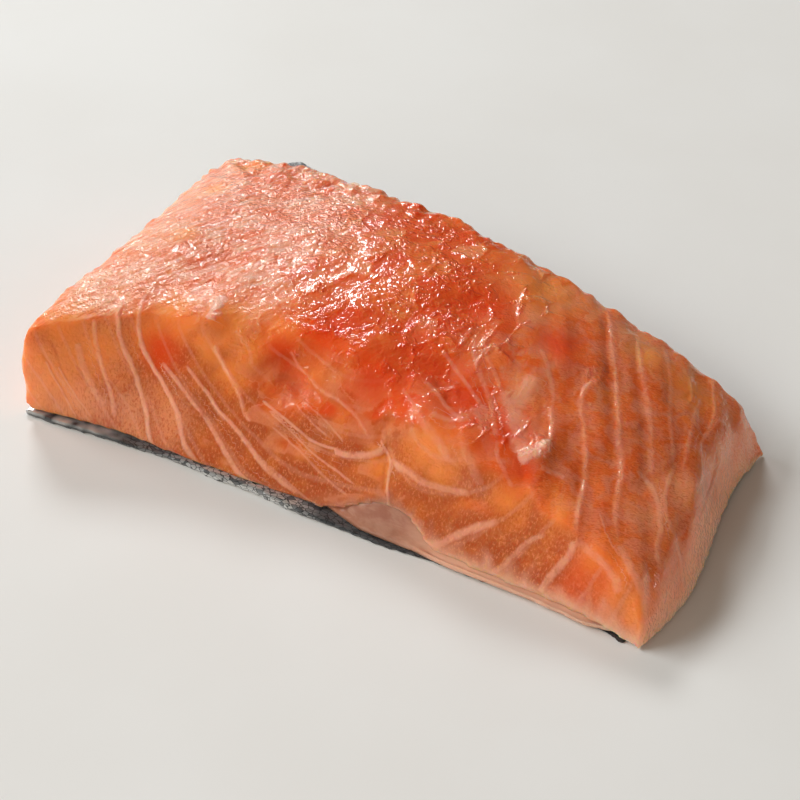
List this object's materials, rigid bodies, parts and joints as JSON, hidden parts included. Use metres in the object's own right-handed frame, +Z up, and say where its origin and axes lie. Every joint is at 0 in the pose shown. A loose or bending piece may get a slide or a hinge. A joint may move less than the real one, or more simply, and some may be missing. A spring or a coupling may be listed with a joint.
{
  "type": "raw salmon portion",
  "caption": "Raw salmon portion on its skin: a thick slice of fillet with flaky orange flesh, a pale layer of fat and grey scaly skin underneath.",
  "frame": {"origin": "on the surface that the portion lies on, under the middle of its bounding box", "axes": "+X along the portion towards its thin belly end, +Y across it from the near knife cut to the far one, +Z up"},
  "size_m": [0.1497, 0.0829, 0.0313],
  "materials": {
    "flesh": "wet, translucent raw flesh with thin pale seams between its flakes",
    "fat": "wet pale pink fat and grey-brown lateral muscle",
    "skin": "wet dark grey skin with silver scales"
  },
  "bodies": {
    "root": {"flesh": "flesh", "fat": "fat", "skin": "skin"}
  },
  "joints": []
}
